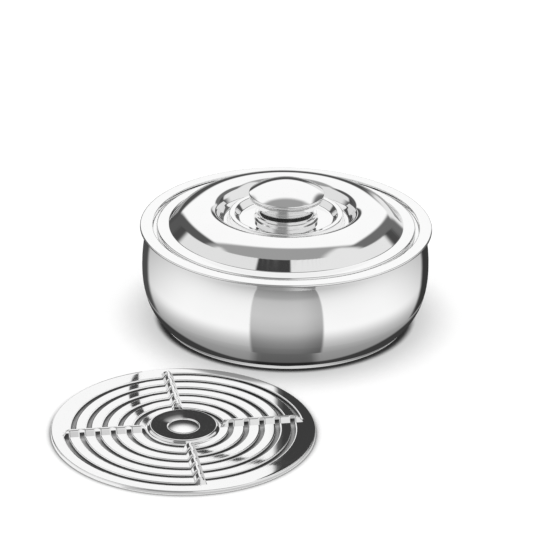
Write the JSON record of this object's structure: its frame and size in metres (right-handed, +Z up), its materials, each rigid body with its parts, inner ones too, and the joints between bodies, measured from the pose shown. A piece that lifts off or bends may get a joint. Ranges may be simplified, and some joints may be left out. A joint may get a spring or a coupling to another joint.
{
  "type": "insulated chapati casserole",
  "caption": "Round double-walled steel serving casserole with a lift-off domed insulated lid, flared hollow knob and a slotted bread rack lying beside it.",
  "frame": {"origin": "centre of the bowl's foot ring on the table", "axes": "+Z up along the bowl's axis, -Y towards the pictured side, +X to its right; the rack lies beside the bowl towards -Y and -X"},
  "size_m": [0.2935, 0.4235, 0.1179],
  "materials": {
    "polished_steel": "polished",
    "fastener_steel": "satin",
    "rigid_foam": "matte",
    "plug_plastic": "satin",
    "gasket_rubber": "matte"
  },
  "bodies": {
    "bowl": {"outer_bowl": "polished_steel", "inner_bowl": "polished_steel", "bowl_insulation": "rigid_foam", "base_plate": "polished_steel", "foam_plug": "plug_plastic"},
    "lid": {"lid_shell": "polished_steel", "lid_liner": "polished_steel", "lid_insulation": "rigid_foam", "knob_collar": "polished_steel", "knob_gasket": "gasket_rubber", "knob_cup": "polished_steel", "knob_cap": "polished_steel", "knob_insert": "fastener_steel", "knob_washer": "fastener_steel", "knob_screw": "fastener_steel"},
    "rack": {"roti_rack": "polished_steel"}
  },
  "joints": [
    {"name": "lid_lift", "type": "slide", "parent": "bowl", "child": "lid", "axis": [0, 0, 1], "range_m": [0, 0.12]},
    {"name": "rack_lift", "type": "slide", "parent": "bowl", "child": "rack", "axis": [0, 0, 1], "range_m": [0, 0.1]}
  ]
}
